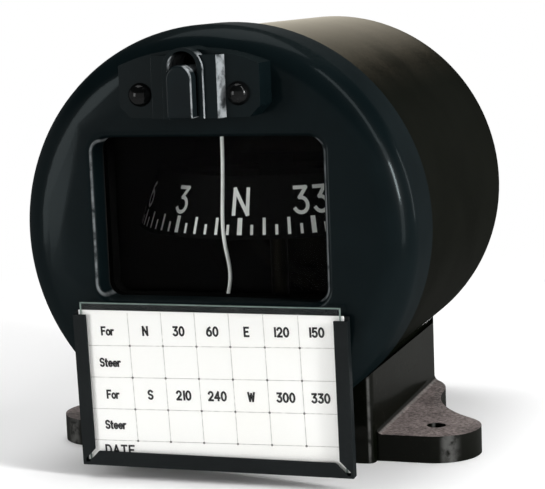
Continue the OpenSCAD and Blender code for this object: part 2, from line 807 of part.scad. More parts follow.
// Lamp
module arch(w, z0, z1) {
    translate([-w / 2, z0]) square([w, z1 - z0 - w / 2]);
    translate([0, z1 - w / 2]) circle(w / 2);
}

module lamp_housing() {
    color("#262d30") difference() {
        union() {
            plate_y(ear_y, lamp_ear_t) intersection() {
                polygon([[-lamp_w / 2, lamp_z + ear_chamfer], [-lamp_w / 2 + ear_chamfer, lamp_z],
                    [lamp_w / 2 - ear_chamfer, lamp_z], [lamp_w / 2, lamp_z + ear_chamfer],
                    [lamp_w / 2, lamp_z + face_r], [-lamp_w / 2, lamp_z + face_r]]);
                translate([0, axis_h]) circle(lamp_arch_r);
            }
            translate([0, 0, lamp_z]) linear_extrude(lamp_h - hood_rise) polygon([
                [-lamp_block_w / 2, ear_y + cut], [-lamp_block_w / 2, ear_y],
                [block_draft - lamp_block_w / 2, block_y], [lamp_block_w / 2 - block_draft, block_y],
                [lamp_block_w / 2, ear_y], [lamp_block_w / 2, ear_y + cut]]);
            plate_y(block_y - hood_t, face_y - socket_back_t / 2 - block_y + hood_t)
                arch(hood_w, lamp_z, lamp_top_z);
        }
        plate_y(block_y - hood_t - cut, lamp_block_t + hood_t + lamp_ear_t - socket_back_t + cut)
            arch(socket_w, lamp_z - cut, socket_top_z);
        rod_y(0, face_y - socket_back_t - cut, bulb_z, bulb_hole_r, socket_back_t + 2 * cut);
        at_lamp_screws() rod_y(0, ear_y - cut, 0, lamp_screw_r + screw_fit, lamp_ear_t + 2 * cut);
    }
}

module lamp_screws() {
    ball_r = (dome_r * dome_r + dome_h * dome_h) / (2 * dome_h);
    color("#15181a") at_lamp_screws() {
        intersection() {
            translate([0, ear_y - dome_h + ball_r, 0]) sphere(ball_r);
            rod_y(0, ear_y - dome_h - cut, 0, dome_r, dome_h + cut);
        }
        rod_y(0, ear_y - eps, 0, lamp_screw_r, lamp_ear_t + lamp_screw_deep - slide_gap);
    }
}

module lamp_contact() {
    color("#b08a3c") plate_y(contact_y, contact_t) difference() {
        arch(holder_plug_w, holder_plug_z, holder_plug_z + holder_plug_h);
        translate([0, bulb_z]) circle(bulb_hole_r);
    }
}

module lamp_holder() {
    color("#2a3236") difference() {
        plate_y(block_y - plug_front, holder_plug_y - block_y + plug_front)
            arch(holder_plug_w, holder_plug_z, holder_plug_z + holder_plug_h);
        rod_y(0, holder_plug_y - bulb_base_len, bulb_z, bulb_base_r + screw_fit, bulb_base_len + cut);
    }
}

module lamp_bulb() {
    color("#e8e0b0") union() {
        rod_y(0, holder_plug_y - bulb_base_len + slide_gap, bulb_z, bulb_base_r, bulb_base_len + bulb_r);
        translate([0, holder_plug_y + bulb_r + slide_gap, bulb_z]) sphere(bulb_r);
    }
}

// Correction card
module side_lips() {
    for (sx = [-1, 1]) translate([sx * (frame_w / 2 - side_lip / 2), (frame_h - lip_drop) / 2])
        square([side_lip, frame_h - lip_drop], center = true);
}

module card_holder() {
    color("#23282a") in_holder_frame() difference() {
        union() {
            plate_y(-sheet_t, sheet_t) translate([-frame_w / 2, 0]) square([frame_w, frame_h]);
            plate_y(lip_y, -lip_y) difference() {
                translate([-frame_w / 2, 0]) square([frame_w, frame_h - lip_drop]);
                translate([-frame_w / 2 + fold_t, fold_t]) square([frame_w - 2 * fold_t, frame_h]);
            }
            plate_y(lip_y, lip_t) difference() {
                union() {
                    side_lips();
                    translate([-frame_w / 2, 0]) square([frame_w, bottom_lip]);
                }
                for (sx = [-1, 1]) translate([sx * (frame_w / 2 - fold_t), fold_t]) rotate(sx * 45)
                    translate([-mitre_gap / 2, 0]) square([mitre_gap, 2 * bottom_lip]);
            }
        }
        for (sx = [-1, 1]) translate([sx * frame_screw_x, 0, frame_screw_z]) rotate([-90, 0, 0])
            translate([0, 0, -sheet_t]) holder_screw_shape(screw_fit, sheet_t + cut);
    }
}

// A countersunk screw from its head's top at z = 0.
module holder_screw_shape(grow, len) {
    cylinder(r1 = frame_head_r + grow, r2 = frame_screw_r + grow, h = sheet_t);
    cylinder(r = frame_screw_r + grow, h = len);
}

module card_holder_screws() {
    color("#50504c") at_holder_screws() translate([0, -sheet_t, 0]) rotate([-90, 0, 0])
        holder_screw_shape(0, sheet_t + frame_screw_deep - slide_gap);
}

module correction_card() {
    color("#f4f3ee") in_holder_frame() plate_y(paper_y, paper_t)
        translate([-paper_w / 2, fold_t + slide_gap]) square([paper_w, paper_h]);
}

module clear_cover() {
    color("#e8eef0", 0.3) in_holder_frame() plate_y(clear_y, clear_t)
        translate([-clear_w / 2, fold_t + slide_gap]) square([clear_w, clear_h]);
}

// Corrector
module at_corrector(side) translate([side * corrector_x, corrector_y, corrector_z]) children();

// Half of a tooth's angle where its half thickness is s, at radius r in a plane that is h from the apex.
function tooth_half(s, r, h) = (s * sqrt(r * r + h * h) / cone_len) / r * 180 / PI;

// Bevel teeth under their apex at the origin: pitch_r is measured h below it.
// The blank starts base below it.
module bevel_teeth(teeth, pitch_r, h, base, turn) {
    pitch = atan(pitch_r / h);
    tip_r = h * tan(pitch + atan(tooth_module / cone_len));
    root_r = h * tan(pitch - atan(root_depth * tooth_module / cone_len));
    flat = tooth_module * PI / 4 - tooth_play;
    tip = tooth_half(flat - tooth_module * tan(tooth_angle), tip_r, h);
    mid = tooth_half(flat, pitch_r, h);
    root = min(tooth_half(flat + root_depth * tooth_module * tan(tooth_angle), root_r, h), 170 / teeth);
    flank = [[root_r, -root], [pitch_r, -mid], [tip_r, -tip], [tip_r, tip], [pitch_r, mid], [root_r, root]];
    small = h * (1 - tooth_face);
    translate([0, 0, -base]) linear_extrude(height = base - small, scale = small / base)
        polygon([for (i = [0 : teeth - 1], f = flank)
            let (a = turn + 360 * i / teeth + f[1]) f[0] * base / h * [cos(a), sin(a)]]);
}

module corrector_frame(side) {
    color("#8a8f92") at_corrector(side) difference() {
        translate([-frame_x, -frame_front, -frame_half - frame_plate_t])
            cube([2 * frame_x, frame_front + frame_back, 2 * (frame_half + frame_plate_t)]);
        translate([-frame_x - cut, -frame_front + frame_bearing_t, -frame_half])
            cube([2 * (frame_x + cut), frame_front + frame_back - frame_bearing_t - frame_web_t,
                2 * frame_half]);
        cylinder(r = axle_r + screw_fit, h = 4 * frame_half, center = true);
        rod_y(0, -frame_front - cut, 0, spindle_bore_r, frame_bearing_t + 2 * cut);
    }
}

module corrector_axle(side) {
    color("#b8b8b0") at_corrector(side)
        cylinder(r = axle_r, h = 2 * (frame_half + frame_plate_t), center = true);
}

module corrector_spindle(side) {
    head_y = pedestal_y - spindle_head_gap - spindle_head_t - corrector_y;
    color("#a08848") at_corrector(side) difference() {
        union() {
            rotate([-90, 0, 0]) bevel_teeth(pinion_teeth, pinion_r, wheel_r, wheel_r, 90);
            rod_y(0, head_y, 0, spindle_r, -wheel_r - head_y + eps);
            rod_y(0, head_y, 0, spindle_head_r, spindle_head_t);
        }
        translate([-spindle_head_r - cut, head_y - cut, -spindle_slot / 2])
            cube([2 * (spindle_head_r + cut), spindle_slot_deep + cut, spindle_slot]);
    }
}

// level is -1 for the lower wheel and 1 for the upper one.
module corrector_wheel(side, level) {
    color("#a08848") at_corrector(side) scale([1, 1, -level]) difference() {
        intersection() {
            bevel_teeth(wheel_teeth, wheel_r, pinion_r, wheel_base + wheel_disc_t, 270 + 180 / wheel_teeth);
            cylinder(r = wheel_r + wheel_rim, h = 2 * frame_half, center = true);
        }
        cylinder(r = axle_r + running_fit, h = 4 * frame_half, center = true);
    }
}

// turn is the bar's direction: 0 lies athwartships, 90 lies fore and aft.
module corrector_magnet(side, level, turn) {
    color("#6a6c70") at_corrector(side) scale([1, 1, -level]) difference() {
        rotate(turn) translate([-bar_len / 2, -bar_w / 2, -wheel_base - wheel_disc_t - bar_t])
            cube([bar_len, bar_w, bar_t]);
        cylinder(r = axle_r + running_fit, h = 4 * frame_half, center = true);
    }
}

front_cover();
rear_drum();
case_seal();
pedestal();
saddle_screws();
base_plate();
base_plate_screws();
window_gasket();
window_glass();
mask_plate();
mask_screws();
lubber_wire();
card_ring();
card_float();
card_magnets();
pivot_pin();
jewel_cup();
pivot_stem();
expansion_bellows();
bellows_clamp();
bellows_screws();
filler_plug();
filler_washer();
lamp_housing();
lamp_screws();
lamp_contact();
lamp_holder();
lamp_bulb();
card_holder();
card_holder_screws();
correction_card();
clear_cover();
corrector_frame(-1);  // fore_aft_frame
corrector_axle(-1);  // fore_aft_axle
corrector_spindle(-1);  // fore_aft_spindle
corrector_wheel(-1, -1);  // fore_aft_lower_wheel
corrector_wheel(-1, 1);  // fore_aft_upper_wheel
corrector_magnet(-1, -1, 0);  // fore_aft_lower_magnet
corrector_magnet(-1, 1, 0);  // fore_aft_upper_magnet
corrector_frame(1);  // athwart_frame
corrector_axle(1);  // athwart_axle
corrector_spindle(1);  // athwart_spindle
corrector_wheel(1, -1);  // athwart_lower_wheel
corrector_wheel(1, 1);  // athwart_upper_wheel
corrector_magnet(1, -1, 90);  // athwart_lower_magnet
corrector_magnet(1, 1, 90);  // athwart_upper_magnet
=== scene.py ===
import json
import math

import bmesh
import bpy
from mathutils import Matrix, Vector


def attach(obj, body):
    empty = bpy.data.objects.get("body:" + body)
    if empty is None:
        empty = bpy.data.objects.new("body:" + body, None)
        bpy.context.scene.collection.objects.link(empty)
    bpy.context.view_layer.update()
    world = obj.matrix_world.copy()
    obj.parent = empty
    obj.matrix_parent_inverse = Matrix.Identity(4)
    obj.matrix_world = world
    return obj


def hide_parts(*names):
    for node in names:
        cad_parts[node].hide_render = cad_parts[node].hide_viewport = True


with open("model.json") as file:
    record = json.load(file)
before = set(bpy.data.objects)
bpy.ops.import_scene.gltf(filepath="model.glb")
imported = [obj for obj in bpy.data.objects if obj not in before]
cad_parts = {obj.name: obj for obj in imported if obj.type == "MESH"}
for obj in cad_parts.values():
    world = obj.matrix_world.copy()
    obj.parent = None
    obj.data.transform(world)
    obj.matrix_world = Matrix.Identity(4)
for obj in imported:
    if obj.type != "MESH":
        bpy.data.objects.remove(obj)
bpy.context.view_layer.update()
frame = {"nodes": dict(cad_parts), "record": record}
nodes = frame["nodes"]
scene = bpy.context.scene
mm = 0.001
print("frame loaded:", len(nodes), "nodes")


class Wire:  # a socket in a node tree; sums on it add Math nodes
    def __init__(self, tree, socket=None):
        self.tree, self.socket = tree, socket

    def node(self, kind, settings, values, out=0):
        made = self.tree.nodes.new(kind)
        for name, value in settings.items():
            setattr(made, name, value)
        for name, value in values.items():
            if isinstance(value, Wire):
                self.tree.links.new(value.socket, made.inputs[name])
            else:
                made.inputs[name].default_value = value
        return Wire(self.tree, made.outputs[out] if made.outputs else None)

    def calc(self, operation, first, second):
        return self.node("ShaderNodeMath", {"operation": operation}, {0: first, 1: second})

    def __add__(self, other):
        return self.calc("ADD", self, other)

    def __radd__(self, other):
        return self.calc("ADD", other, self)

    def __sub__(self, other):
        return self.calc("SUBTRACT", self, other)

    def __rsub__(self, other):
        return self.calc("SUBTRACT", other, self)

    def __mul__(self, other):
        return self.calc("MULTIPLY", self, other)

    def __rmul__(self, other):
        return self.calc("MULTIPLY", other, self)

    def __pow__(self, other):
        return self.calc("POWER", self, other)

    def step(self, low, high):  # 0 below low, 1 above high, smooth between
        return self.node("ShaderNodeMapRange", {"interpolation_type": "SMOOTHSTEP"},
                         {"Value": self, "From Min": low, "From Max": high})

    def blend(self, first, second):  # first colour where this is 0, second where it is 1
        return self.node("ShaderNodeMix", {"data_type": "RGBA"}, {0: self, 6: first, 7: second}, 2)

    def noise(self, scale, detail=3.0, rough=0.55, stretch=(1, 1, 1)):
        place = self.node("ShaderNodeTexCoord", {}, {}, "Object")
        place = self.node("ShaderNodeMapping", {}, {"Vector": place, "Scale": stretch})
        return self.node("ShaderNodeTexNoise", {},
                         {"Vector": place, "Scale": scale, "Detail": detail, "Roughness": rough})

    def bump(self, height, depth, strength=1.0):
        return self.node("ShaderNodeBump", {}, {"Strength": strength, "Distance": depth, "Height": height})


def newFinish(name):
    material = bpy.data.materials.new(name)
    material.use_nodes = True
    material.node_tree.nodes.clear()
    return material, Wire(material.node_tree)


def surface(wire, values):
    shader = wire.node("ShaderNodeBsdfPrincipled", {}, values)
    wire.node("ShaderNodeOutputMaterial", {}, {"Surface": shader})


# what every paint has unless its own look says otherwise
enamelBase = dict(topDustAndSheen=0.0, gloss=0.05, slant=8.0, rimFrom=(0.74, 1.0), sheen=(1, 1, 1, 1), highlightRightOnly=False,
                  patchScale=35, settleScale=1500, settlePatch=75, settleLeast=0.45, settleMore=0.65,
                  wearAndHighlightScale=500, driftRough=0.06, dustRough=0.3, matteRough=0.6)


def paintedHighlight(wire, facing, look):  # painted highlight: how far the paint is made pale on the sides and rounded edges where the lamps' gloss lines fall
    sideways = wire.node("ShaderNodeSeparateXYZ", {}, {"Vector": facing}, "X")
    if not look["highlightRightOnly"]:  # both sides, not the right side alone
        sideways = wire.calc("ABSOLUTE", sideways, 0.0)
    place = wire.node("ShaderNodeTexCoord", {}, {}, "Object")
    across = wire.node("ShaderNodeSeparateXYZ", {}, {"Vector": place}, "X")
    height = wire.node("ShaderNodeSeparateXYZ", {}, {"Vector": place}, "Z") - look["highlightMiddle"]
    across, height = (wire.calc("ABSOLUTE", value, 0.0) for value in (across, height))
    turned = sideways.step(*look["highlightFrom"]) * (1 - sideways.step(*look["highlightTo"]))
    within = (1 - across.step(*look["highlightWide"])) * (1 - height.step(*look["highlightHigh"]))
    return turned * within * wire.noise(look["wearAndHighlightScale"], 4, 0.6).step(0.25, 0.6) * look["wearAndHighlight"]


def enamel(name, look):  # paint: the tone drifts, fine grain, dust in patches, dust and painted sheen on top, painted highlights on edges, a thin gloss
    look = {**enamelBase, "glintRough": look["rough"], **look}
    material, wire = newFinish(name)
    drift = wire.noise(look["driftScale"], 4, 0.6).step(0.3, 0.72)
    grain = wire.noise(look["grainScale"], 2, 0.5)
    dust = wire.noise(look["dustScale"], 6, 0.75).step(0.56, 0.8)
    dust = dust * wire.noise(look["patchScale"], 3).step(0.4, 0.7)
    facing = wire.node("ShaderNodeNewGeometry", {}, {}, "Normal")
    upward = wire.node("ShaderNodeSeparateXYZ", {}, {"Vector": facing}, "Z")
    # dust on upward faces, laid on pale and thick enough to be painted sheen on the tops as well
    upwardDustAndSheen = upward.step(0.6, 1.0) * wire.noise(look["settleScale"], 4, 0.6).step(0.05, 0.95)
    patches = wire.noise(look["settlePatch"], 2).step(0.3, 0.66) * look["settleMore"] + look["settleLeast"]
    dust = dust * look["dust"] + upwardDustAndSheen * patches * look["topDustAndSheen"]
    colour = dust.blend(drift.blend(look["tone"], look["tone2"]), look["dustTone"])
    # painted highlight: a pale band on the edges that face the lamps
    if "wearAndHighlight" in look:
        colour = paintedHighlight(wire, facing, look).blend(colour, look["highlightTone"])
    relief = wire.bump(grain, look["grainDepth"], look["grain"])
    rough = look["rough"] + drift * look["driftRough"] + dust * look["dustRough"]
    paint = wire.node("ShaderNodeBsdfPrincipled", {},  # first in the mix, so the export takes its values
                      {"Base Color": colour, "Roughness": rough, "Normal": relief})
    matte = wire.node("ShaderNodeBsdfPrincipled", {},
                      {"Base Color": colour, "Roughness": look["matteRough"], "Specular IOR Level": 0.0,
                       "Normal": relief})
    glint = wire.node("ShaderNodeBsdfPrincipled", {},
                      {"Base Color": look["sheen"], "Metallic": 1.0, "Roughness": look["glintRough"],
                       "Normal": relief})
    slant = wire.node("ShaderNodeLayerWeight", {}, {"Blend": 0.5}, "Facing")
    rim = slant ** look["slant"] * upward.step(*look["rimFrom"]) * look["rim"]
    under = wire.node("ShaderNodeMixShader", {}, {0: rim + look["polish"], 1: matte, 2: glint})
    both = wire.node("ShaderNodeMixShader", {}, {0: 1 - look["gloss"], 1: paint, 2: under})
    wire.node("ShaderNodeOutputMaterial", {}, {"Surface": both})
    return material


metalMarks = dict(rough=0.12, stainRough=0.15, depth=0.000012, strength=0.5)


def metal(name, look):  # turned or plated metal: fine marks along one way, stains in patches
    material, wire = newFinish(name)
    marks = wire.noise(look["markScale"], 3, 0.6, look["markWay"])
    stain = wire.noise(look["stainScale"], 5, 0.65).step(0.42, 0.75)
    colour = (stain * look["stain"]).blend(look["tone"], look["stainTone"])
    rough = look["rough"] + marks * metalMarks["rough"] + stain * metalMarks["stainRough"]
    relief = wire.bump(marks, metalMarks["depth"], metalMarks["strength"])
    surface(wire, {"Base Color": colour, "Metallic": 1.0, "Roughness": rough, "Normal": relief})
    return material


smearRough = 0.12  # how much rougher a smeared pane is


def clearPane(name, look):  # clear sheet: what is behind shows, with a gloss that grows at a slant
    material, wire = newFinish(name)
    smear = wire.noise(look["smearScale"], 4, 0.6).step(0.45, 0.8)
    through = wire.node("ShaderNodeBsdfTransparent", {}, {"Color": look["tint"]})
    rough = look["rough"] + smear * smearRough
    gloss = wire.node("ShaderNodeBsdfPrincipled", {},
                      {"Base Color": look["tint"], "Metallic": 1.0, "Roughness": rough})
    slant = wire.node("ShaderNodeFresnel", {}, {"IOR": look["ior"]})
    share = slant * look["gloss"] + smear * look["smear"]
    both = wire.node("ShaderNodeMixShader", {}, {0: share, 1: through, 2: gloss})
    wire.node("ShaderNodeOutputMaterial", {}, {"Surface": both})
    return material


# case: the pale band is a painted highlight along the window's side edges
caseLook = dict(tone=(0.0028, 0.0055, 0.0063, 1), tone2=(0.0019, 0.0040, 0.0046, 1), driftScale=55,
                dustScale=900, dust=0.04, dustTone=(0.085, 0.09, 0.085, 1), topDustAndSheen=0.10,
                rough=0.30, polish=0.0029, glintRough=0.10, gloss=0.035, rim=0.06, sheen=(0.82, 0.97, 1, 1),
                wearAndHighlight=0.9, highlightFrom=(0.42, 0.55), highlightTo=(0.66, 0.80), highlightTone=(0.15, 0.16, 0.165, 1),
                highlightWide=(0.026, 0.027), highlightHigh=(0.0155, 0.0185), highlightMiddle=0.0545,
                grainScale=2600, grainDepth=0.00002, grain=0.2)
# lamp: the pale band is a painted highlight on the lamp block's side walls
lampLook = dict(caseLook, rough=0.24, polish=0.0042, gloss=0.05,
                wearAndHighlight=1.0, highlightFrom=(0.55, 0.9), highlightTo=(1.5, 1.6), highlightTone=(0.28, 0.30, 0.31, 1),
                highlightWide=(0.009, 0.011), highlightHigh=(0.05, 0.06))
# drum: the brown dust on top also stands as painted sheen along the top
drumLook = dict(tone=(0.0022, 0.0027, 0.0016, 1), tone2=(0.0014, 0.0018, 0.0010, 1), driftScale=45,
                dustScale=800, dust=0.05, dustTone=(0.16, 0.135, 0.10, 1), topDustAndSheen=0.30,
                rough=0.34, polish=0.0012, gloss=0.03, rim=0.75, slant=6, sheen=(1, 0.89, 0.66, 1),
                grainScale=2200, grainDepth=0.00002, grain=0.25)
# foot: the pale top is dust and painted sheen on the flange top; the pale band is a painted highlight on the lug
# corners
footLook = dict(drumLook, dustTone=(0.40, 0.335, 0.32, 1), topDustAndSheen=0.95, rough=0.26, polish=0.0042,
                glintRough=0.10, gloss=0.06, rim=0.03, slant=4, rimFrom=(-1.5, -1.2), sheen=(1, 0.98, 0.92, 1),
                wearAndHighlight=0.6, highlightFrom=(0.26, 0.42), highlightTo=(0.52, 0.74), highlightTone=(0.12, 0.12, 0.115, 1),
                highlightWide=(0.06, 0.07), highlightHigh=(0.05, 0.06), highlightMiddle=0.01)
sheetLook = dict(tone=(0.0085, 0.0105, 0.0110, 1), tone2=(0.0060, 0.0076, 0.0080, 1), driftScale=80,
                 dustScale=1200, dust=0.08, dustTone=(0.13, 0.13, 0.12, 1),
                 rough=0.26, polish=0.0040, glintRough=0.10, gloss=0.06, rim=0.08,
                 grainScale=3500, grainDepth=0.000015, grain=0.2)
screwLook = dict(tone=(0.0020, 0.0023, 0.0024, 1), tone2=(0.0034, 0.0037, 0.0037, 1), driftScale=400,
                 dustScale=2500, dust=0.05, dustTone=(0.14, 0.13, 0.11, 1),
                 rough=0.14, polish=0.0085, glintRough=0.10, gloss=0.03, rim=0.2,
                 grainScale=5000, grainDepth=0.000006, grain=0.15)
# plug: the pale band is a painted highlight on the tongue's right rounding only
plugLook = dict(tone=(0.0058, 0.0092, 0.0104, 1), tone2=(0.0045, 0.0070, 0.0080, 1), driftScale=150,
                dustScale=1800, dust=0.04, dustTone=(0.12, 0.12, 0.11, 1),
                rough=0.22, polish=0.0030, glintRough=0.10, gloss=0.04, rim=0.08,
                wearAndHighlight=1.0, highlightRightOnly=True, highlightFrom=(0.20, 0.40), highlightTo=(0.70, 0.90),
                highlightTone=(0.26, 0.28, 0.29, 1), highlightWide=(0.02, 0.03), highlightHigh=(0.05, 0.06), highlightMiddle=0.08,
                grainScale=4000, grainDepth=0.00001, grain=0.2)
rubberLook = dict(tone=(0.005, 0.005, 0.005, 1), tone2=(0.008, 0.008, 0.0076, 1), driftScale=120,
                  dustScale=1500, dust=0.10, dustTone=(0.06, 0.06, 0.055, 1),
                  rough=0.60, polish=0.004, rim=0.05, grainScale=3000, grainDepth=0.00003, grain=0.5)
maskLook = dict(tone=(0.0012, 0.0012, 0.0012, 1), tone2=(0.0020, 0.0020, 0.0019, 1), driftScale=90,
                dustScale=1500, dust=0.01, dustTone=(0.02, 0.02, 0.02, 1),
                rough=0.80, polish=0.001, gloss=0.01, rim=0.01,
                grainScale=4000, grainDepth=0.00001, grain=0.4)
cardLook = dict(maskLook, tone=(0.0015, 0.0015, 0.0015, 1), tone2=(0.0024, 0.0024, 0.0023, 1), driftScale=110,
                rough=0.78)
whiteLook = dict(tone=(0.92, 0.93, 0.90, 1), tone2=(0.85, 0.86, 0.83, 1), driftScale=500,
                 dustScale=2500, dust=0.05, dustTone=(0.40, 0.39, 0.34, 1),
                 rough=0.55, polish=0.01, rim=0.05, grainScale=6000, grainDepth=0.00001, grain=0.3)
jewelLook = dict(tone=(0.34, 0.012, 0.05, 1), tone2=(0.22, 0.008, 0.035, 1), driftScale=900,
                 dustScale=4000, dust=0.03, dustTone=(0.5, 0.3, 0.3, 1),
                 rough=0.08, polish=0.05, rim=0.6, grainScale=8000, grainDepth=0.000004, grain=0.1)
edgeLook = dict(tone=(0.17, 0.22, 0.20, 1), tone2=(0.10, 0.14, 0.125, 1), driftScale=300,
                dustScale=2500, dust=0.2, dustTone=(0.42, 0.46, 0.44, 1),
                rough=0.3, polish=0.02, rim=0.2, grainScale=5000, grainDepth=0.000005, grain=0.2)
brassLook = dict(tone=(0.62, 0.44, 0.17, 1), stainTone=(0.28, 0.18, 0.07, 1), stain=0.55, stainScale=260,
                 markScale=1500, markWay=(1, 0.08, 1), rough=0.26)
# brass behind the card, blackened nearly to black: a blackened finish that is also painted shade for the dark,
# fluid-filled bowl
darkBrassLook = dict(tone=(0.016, 0.014, 0.010, 1), stainTone=(0.007, 0.006, 0.004, 1), stain=0.7,
                     stainScale=240, markScale=1500, markWay=(1, 0.08, 1), rough=0.55)
steelLook = dict(tone=(0.52, 0.50, 0.43, 1), stainTone=(0.30, 0.27, 0.20, 1), stain=0.4, stainScale=200,
                 markScale=1800, markWay=(0.1, 1, 1), rough=0.34)
magnetLook = dict(tone=(0.20, 0.205, 0.215, 1), stainTone=(0.11, 0.105, 0.10, 1), stain=0.6, stainScale=320,
                  markScale=2200, markWay=(1, 1, 0.1), rough=0.42)
pinLook = dict(tone=(0.60, 0.60, 0.58, 1), stainTone=(0.42, 0.41, 0.38, 1), stain=0.3, stainScale=700,
               markScale=4000, markWay=(1, 1, 0.05), rough=0.18)
glassLook = dict(tint=(0.985, 0.992, 0.988, 1), smearScale=60, smear=0.0, rough=0.03, ior=1.45, gloss=0.03)
acetateLook = dict(tint=(0.99, 0.99, 0.985, 1), smearScale=110, smear=0.012, rough=0.10, ior=1.40, gloss=0.30)
bulbLook = dict(tint=(0.95, 0.92, 0.82, 1), smearScale=400, smear=0.10, rough=0.05, ior=1.5, gloss=1.0)


paperLook = dict(tone=(0.955, 0.955, 0.95, 1), yellowTone=(0.935, 0.93, 0.905, 1), yellow=0.5, yellowScale=60,
                 fibreTone=(0.7, 0.68, 0.63, 1), fibre=0.05, fibreScale=2600, fibreWay=(1, 1, 0.35),
                 rough=0.72, fibreRough=0.1, specular=0.2, fibreDepth=0.00001, relief=0.3)


def paperFinish(name, look):  # card stock: faint fibres and a little yellowing
    material, wire = newFinish(name)
    fibre = wire.noise(look["fibreScale"], 4, 0.7, look["fibreWay"])
    yellow = wire.noise(look["yellowScale"], 3, 0.5).step(0.4, 0.8)
    colour = (yellow * look["yellow"]).blend(look["tone"], look["yellowTone"])
    colour = (fibre.step(0.58, 0.75) * look["fibre"]).blend(colour, look["fibreTone"])
    surface(wire, {"Base Color": colour, "Roughness": look["rough"] + fibre * look["fibreRough"],
                   "Specular IOR Level": look["specular"],
                   "Normal": wire.bump(fibre, look["fibreDepth"], look["relief"])})
    return material


inkLook = dict(wearAndHighlightScale=1400, rough=0.6, wornRough=0.15, specular=0.2)


def inkFinish(name, tone, faded):  # print on the card, thinner in places
    material, wire = newFinish(name)
    wearAndHighlight = wire.noise(inkLook["wearAndHighlightScale"], 4, 0.7).step(0.42, 0.7)
    surface(wire, {"Base Color": wearAndHighlight.blend(tone, faded), "Specular IOR Level": inkLook["specular"],
                   "Roughness": inkLook["rough"] + wearAndHighlight * inkLook["wornRough"]})
    return material


finishes = {
    "case_enamel": enamel("caseEnamel", caseLook),
    "drum_enamel": enamel("drumEnamel", drumLook),
    "black_sheet": enamel("holderEnamel", sheetLook),
    "black_screw": enamel("screwBlack", screwLook),
    "plug_black": enamel("lampPlugBlack", plugLook),
    "seal_rubber": enamel("sealRubber", rubberLook),
    "mask_black": enamel("maskBlack", maskLook),
    "card_black": enamel("dialBlack", cardLook),
    "wire_white": enamel("dialWhite", whiteLook),
    "jewel_red": enamel("jewelRed", jewelLook),
    "plain_brass": metal("turnedBrass", brassLook),
    "blackened_brass": metal("blackenedBrassAndShade", darkBrassLook),
    "plated_steel": metal("platedSteel", steelLook),
    "magnet_steel": metal("magnetSteel", magnetLook),
    "pin_steel": metal("polishedSteel", pinLook),
    "window_glass": clearPane("windowGlass", glassLook),
    "bulb_glass": clearPane("bulbGlass", bulbLook),
    "clear_sheet": clearPane("clearAcetate", acetateLook),
    "card_stock": paperFinish("cardStock", paperLook),
}
slotOf = {row["node"]: row["material_slot"] for row in frame["record"]["subparts"]}
for name, node in nodes.items():
    node.data.materials.clear()
    node.data.materials.append(finishes[slotOf[name]])
print("finishes made:", len(finishes))


def addPiece(name, mesh, body, material):
    mesh.materials.clear()
    mesh.materials.append(material)
    piece = bpy.data.objects.new(name, mesh)
    scene.collection.objects.link(piece)
    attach(piece, body)
    return piece


# pieces whose cast or folded edges are rounded: width in mm, least angle of a rounded edge in degrees
roundedEdges = {
    "front_cover": dict(width=0.5, angle=30, segments=4),
    "lamp_housing": dict(width=0.45, angle=30, segments=3, finish=enamel("lampEnamel", lampLook)),
    "lamp_holder": dict(width=0.6, angle=30, segments=4, body="lamp"),
    "card_holder": dict(width=0.12, angle=30, segments=2),
    "pedestal": dict(width=0.4, angle=30, segments=3, finish=enamel("footEnamel", footLook)),
    "filler_plug": dict(width=0.3, angle=30, segments=3),
    "base_plate": dict(width=0.2, angle=30, segments=2),
}
merging = dict(distance=0.000002, flatAngle=1)  # corners closer than this and faces flatter than this join


def roundedCopy(nodeName, look):
    bm = bmesh.new()
    bm.from_mesh(nodes[nodeName].data)
    bmesh.ops.remove_doubles(bm, verts=bm.verts, dist=merging["distance"])
    bmesh.ops.dissolve_limit(bm, angle_limit=math.radians(merging["flatAngle"]), verts=bm.verts, edges=bm.edges)
    mesh = bpy.data.meshes.new(nodeName + "Rounded")
    bm.to_mesh(mesh)
    bm.free()
    if "custom_normal" in mesh.attributes:
        mesh.attributes.remove(mesh.attributes["custom_normal"])
    mesh.shade_smooth()
    mesh.set_sharp_from_angle(angle=math.radians(look["angle"]))
    slotName = slotOf[nodeName]
    finish = look.get("finish", finishes[slotName])
    piece = addPiece(nodeName + "Rounded", mesh, look.get("body", "case"), finish)
    rounding = piece.modifiers.new("rounding", "BEVEL")
    rounding.width = look["width"] * mm
    rounding.segments = look["segments"]
    rounding.limit_method = "ANGLE"
    rounding.angle_limit = math.radians(look["angle"])
    rounding.use_clamp_overlap = True
    rounding.harden_normals = True
    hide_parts(nodeName)


for nodeName, look in roundedEdges.items():
    roundedCopy(nodeName, look)
print("rounded pieces:", len(roundedEdges))


def arc(x, y, wide, high, start, end, count):
    turns = [math.radians(start + (end - start) * i / count) for i in range(count + 1)]
    return [(x + wide * math.cos(t), y + high * math.sin(t)) for t in turns]


